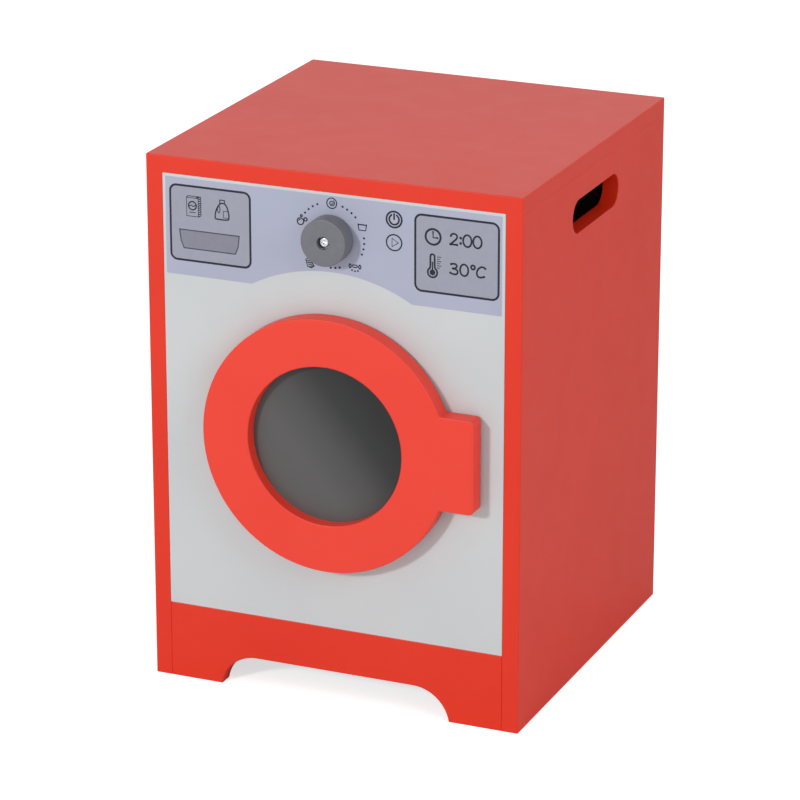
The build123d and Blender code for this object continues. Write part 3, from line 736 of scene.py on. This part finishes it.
def print_display():
    """The box at the film's right end: a clock and a time, a thermometer and a temperature."""
    left = film_high.x / MM - display_side_margin - box_width
    top = film_high.z / MM - box_top_margin
    tinted_box("display_box", left, top)
    clock_icon(left + clock_across, top - time_down)
    reading("time_reading", left, top - time_down, time_size, TIME_MARKS)
    thermometer_icon(left + thermometer_across, top - bulb_down)
    reading(
        "temperature_reading", left, top - temperature_down, temperature_size, TEMPERATURE_MARKS
    )


# ---------------------------------------------------------------- the buttons' print
def power_button(x, z):
    """A broken circle with a bar, in a ring."""
    bm = bmesh.new()
    ring(bm, x, z, button_radius, icon_line)
    pen_line(bm, arc_points(x, z, 4.7, 122, 418, 13), icon_line)
    draw(bm, x, z, [(0, 5.0), (0, 0.4)], icon_line, smooth=False)
    print_piece("power_button_print", bm, line_ink)


def start_button(x, z):
    """A triangle that points right, in a ring."""
    triangle = [(-2.0, 3.8), (4.0, 0), (-2.0, -3.8)]
    bm = bmesh.new()
    ring(bm, x, z, button_radius, start_line)
    draw(bm, x, z, triangle, start_line, smooth=False, closed=True)
    print_piece("start_button_print", bm, line_ink)


# ---------------------------------------------------------------- the dial's print
def dial_dots():
    """Four groups of dots round the knob, each a distance from its axis and angles in degrees."""
    groups = (
        (32.0, (141, 132, 123, 114)), (31.7, (69.5, 60.8, 51.8, 42.8)),
        (31.6, (6.0, -3.2, -12.4, -21.6)), (27.4, (-73, -82, -91)),
    )
    x, z = knob_x / MM, knob_z / MM
    bm = bmesh.new()
    for distance, angles in groups:
        for angle in map(radians, angles):
            dot(bm, x + distance * cos(angle), z + distance * sin(angle), dial_dot_radius)
    print_piece("dial_dots", bm, line_ink)


def spin_icon(x, z):
    """A spiral in a circle, for spinning."""
    turns, outer, inner, steps = 1.6, 3.0, 0.8, 19
    spiral = []
    for step in range(steps + 1):
        radius = outer + (inner - outer) * step / steps
        angle = radians(60 - 360 * turns * step / steps)
        spiral.append((x + radius * cos(angle), z + radius * sin(angle)))
    bm = bmesh.new()
    ring(bm, x, z, 4.7, thin_line, 40)
    pen_line(bm, spiral, hair_line)
    print_piece("spin_icon", bm, line_ink)


def bubbles_icon(x, z):
    """Three bubbles, the largest with a glint."""
    bubbles = ((-1.9, -1.6, 3.1, 28), (3.0, 0.6, 1.5, 20), (-1.0, 3.6, 0.9, 16))
    bm = bmesh.new()
    for across, up, radius, sides in bubbles:
        ring(bm, x + across, z + up, radius, fine_line, sides)
    pen_line(bm, arc_points(x - 1.9, z - 1.6, 1.7, 95, 165, 5), hair_line)
    print_piece("bubbles_icon", bm, line_ink)


def tub_icon(x, z):
    """A wash tub with the water's waves."""
    tub = [(-4, 2.6), (-3.2, -2.8), (3.2, -2.8), (4, 2.6)]
    waves = [(x - 3.6 + 0.9 * index, z + (1.9, 2.7)[index % 2]) for index in range(9)]
    bm = bmesh.new()
    draw(bm, x, z, tub, fine_line, smooth=False)
    pen_line(bm, waves, fine_line)
    print_piece("tub_icon", bm, line_ink)


def rinse_icon(x, z):
    """A cloud between two bubbles, with three drops under it."""
    cloud = [
        (-2.6, 0.6), (-1.6, 2.2), (0.0, 1.6), (1.6, 2.2), (2.6, 0.6), (1.2, -0.8), (0.0, 0.2),
        (-1.2, -0.8),
    ]
    bm = bmesh.new()
    draw(bm, x, z, cloud, thin_line, closed=True)
    for side in (-1, 1):
        draw(bm, x, z, oval_points(4.6 * side, 0.6, 1.0, 1.8), fine_line, closed=True)
    for across, up in ((-2.8, -3.0), (0.0, -3.8), (2.8, -3.2)):
        dot(bm, x + across, z + up, drop_radius)
    print_piece("rinse_icon", bm, line_ink)


def washboard_icon(x, z):
    """A small ribbed board that leans to the left."""
    board = [(-4.4, 3.6), (-0.8, 4.6), (3.8, -2.0), (1.0, -3.8), (-2.6, -2.8)]
    bm = bmesh.new()
    draw(bm, x, z, board, fine_line, smooth=False, closed=True)
    for step in range(4):
        rib = [(-3.8 + 1.2 * step, 2.0 - 1.5 * step), (0.2 + 0.9 * step, 2.8 - 1.5 * step)]
        draw(bm, x, z, rib, thin_line, smooth=False)
    print_piece("washboard_icon", bm, line_ink)


# Each sign's place from the knob's axis, across and up.
SIGN_PLACES = (
    (spin_icon, 0.8, 31.7), (bubbles_icon, -27.5, 13.4), (tub_icon, 29.8, 13.2),
    (rinse_icon, 22.7, -24.0), (washboard_icon, -20.2, -26.0), (power_button, 60.0, 23.9),
    (start_button, 60.0, 2.9),
)


def print_dial():
    """The dots and signs round the knob, and the two buttons beside them."""
    dial_dots()
    for sign, across, up in SIGN_PLACES:
        sign(knob_x / MM + across, knob_z / MM + up)


# ---------------------------------------------------------------- the studio
object_height = model_box[1].z

# The camera stands to the right of straight in front and above, and aims at a point of the
# front's plane, given across and up as shares of the object's height.
camera_aim = Vector((0.1309, 0, 0.6031)) * object_height
camera_turn = radians(23.13)
camera_rise = radians(19.43)
camera_distance = 7.0 * object_height
sensor_mm = 36
focal_pixels = 3972.5
picture_pixels = 800
camera_lens_mm = focal_pixels / picture_pixels * sensor_mm

white_light = (1, 1, 1, 1)
paper_glow = 0.65                # on what the camera sees of the paper, so that it turns white
soft_light_strength = 0.49       # the light that falls on the object from all round
floor_reach = 6.0                # metres each way from the middle


def studio_paper():
    """White seamless paper: matt, and lit up to white where no shadow falls."""
    material, tree, shader = new_material(
        "white_studio_paper", {"Base Color": linear("#f0f0f0"), "Roughness": 0.9}
    )
    ray = add_node(tree, "ShaderNodeLightPath")
    glow_share = add_node(
        tree, "ShaderNodeMath", {"operation": "MULTIPLY", 1: paper_glow},
        {0: ray.outputs["Is Camera Ray"]},
    )
    glow = add_node(
        tree, "ShaderNodeEmission", {"Color": white_light},
        {"Strength": glow_share.outputs["Value"]},
    )
    fine_relief(tree, shader, 4, 0.02)
    both = add_node(
        tree, "ShaderNodeAddShader",
        links={0: shader.outputs["BSDF"], 1: glow.outputs["Emission"]},
    )
    tree.links.new(both.outputs["Shader"], tree.nodes["Material Output"].inputs["Surface"])
    return material


def make_floor():
    """The paper that the object stands on."""
    bm = bmesh.new()
    bmesh.ops.create_grid(bm, x_segments=1, y_segments=1, size=floor_reach)
    mesh = bpy.data.meshes.new("studio_floor")
    bm.to_mesh(mesh)
    bm.free()
    floor = bpy.data.objects.new("studio_floor", mesh)
    bpy.context.scene.collection.objects.link(floor)
    floor.data.materials.append(studio_paper())


def make_world():
    """Soft light from all round; the camera, reflections and what shines through see it white."""
    world = bpy.data.worlds.new("studio_world")
    bpy.context.scene.world = world
    world.use_nodes = True
    tree = world.node_tree
    tree.nodes.clear()
    ray = add_node(tree, "ShaderNodeLightPath")
    seen = ray.outputs["Is Camera Ray"]
    for kind in ("Is Glossy Ray", "Is Transmission Ray"):
        seen = add_node(
            tree, "ShaderNodeMath", {"operation": "MAXIMUM"}, {0: seen, 1: ray.outputs[kind]}
        ).outputs["Value"]
    soft_light, white = (
        add_node(
            tree, "ShaderNodeBackground", {"Color": white_light, "Strength": strength}
        ).outputs["Background"]
        for strength in (soft_light_strength, 1.0)
    )
    mix = add_node(tree, "ShaderNodeMixShader", links={0: seen, 1: soft_light, 2: white})
    add_node(tree, "ShaderNodeOutputWorld", links={"Surface": mix.outputs["Shader"]})


def soft_box(name, place, aim, size, watts):
    """A square soft box that points at aim."""
    light = bpy.data.lights.new(name, "AREA")
    light.shape = "SQUARE"
    light.size = size
    light.energy = watts
    lamp = bpy.data.objects.new(name, light)
    bpy.context.scene.collection.objects.link(lamp)
    lamp.location = place
    lamp.rotation_euler = (Vector(aim) - Vector(place)).to_track_quat("-Z", "Y").to_euler()


def make_camera():
    """Long lens, to the right of the front and a little above, as in the photograph."""
    back = Vector((
        sin(camera_turn) * cos(camera_rise), -cos(camera_turn) * cos(camera_rise), sin(camera_rise)
    ))
    aim = camera_aim + Vector((0, panel_low.y, 0))
    data = bpy.data.cameras.new("studio_camera")
    data.sensor_width = sensor_mm
    data.lens = camera_lens_mm
    camera = bpy.data.objects.new("studio_camera", data)
    bpy.context.scene.collection.objects.link(camera)
    camera.location = aim + camera_distance * back
    camera.rotation_euler = (-back).to_track_quat("-Z", "Y").to_euler()
    bpy.context.scene.camera = camera


def make_studio():
    """The floor, the light and the camera."""
    make_floor()
    make_world()
    middle = (0, 0, object_height / 2)
    soft_box("key_soft_box", place=(-1.12, -3.1, 1.5), aim=middle, size=0.35, watts=45)
    soft_box("right_fill_soft_box", place=(2.3, -1.1, 1.6), aim=middle, size=1.4, watts=18)
    make_camera()
    bpy.context.scene.view_settings.view_transform = "Standard"


finish_nodes()
print_drawer()
print_display()
print_dial()
make_studio()
